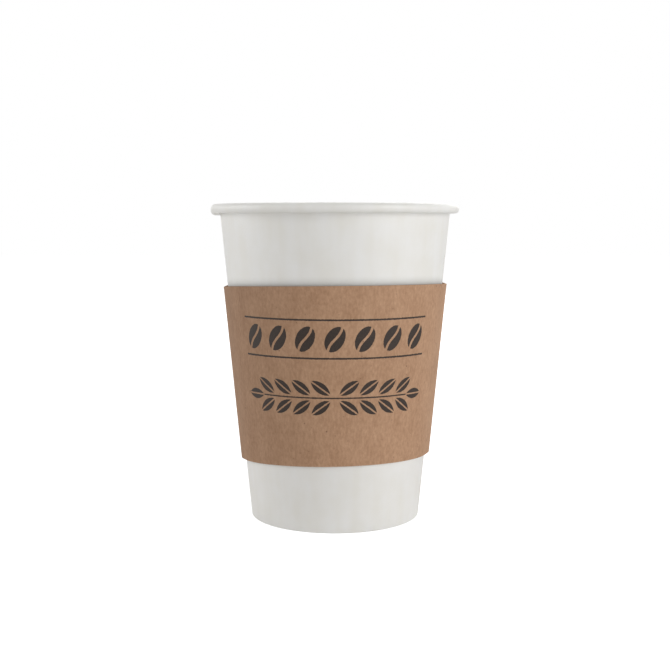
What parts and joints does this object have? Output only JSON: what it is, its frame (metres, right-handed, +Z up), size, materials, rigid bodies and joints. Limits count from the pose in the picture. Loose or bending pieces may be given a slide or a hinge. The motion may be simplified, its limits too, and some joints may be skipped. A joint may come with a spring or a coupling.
{
  "type": "paper coffee cup",
  "caption": "Tapered white paper hot-drink cup with a rolled rim, recessed base and plain-shaped kraft board sleeve.",
  "frame": {"origin": "middle of the foot ring, on the table", "axes": "+Z up the cup's axis to the mouth, -Y to the printed front of the sleeve, +Y to the cup's side seam, +X and -X to the sleeve's folds"},
  "size_m": [0.09, 0.09, 0.113],
  "materials": {
    "white_board": "satin, thin waterproof coating",
    "base_board": "satin, thin waterproof coating",
    "kraft_board": "matt, uncoated"
  },
  "bodies": {
    "root": {"cup_wall": "white_board", "cup_base": "base_board", "kraft_sleeve": "kraft_board"}
  },
  "joints": []
}
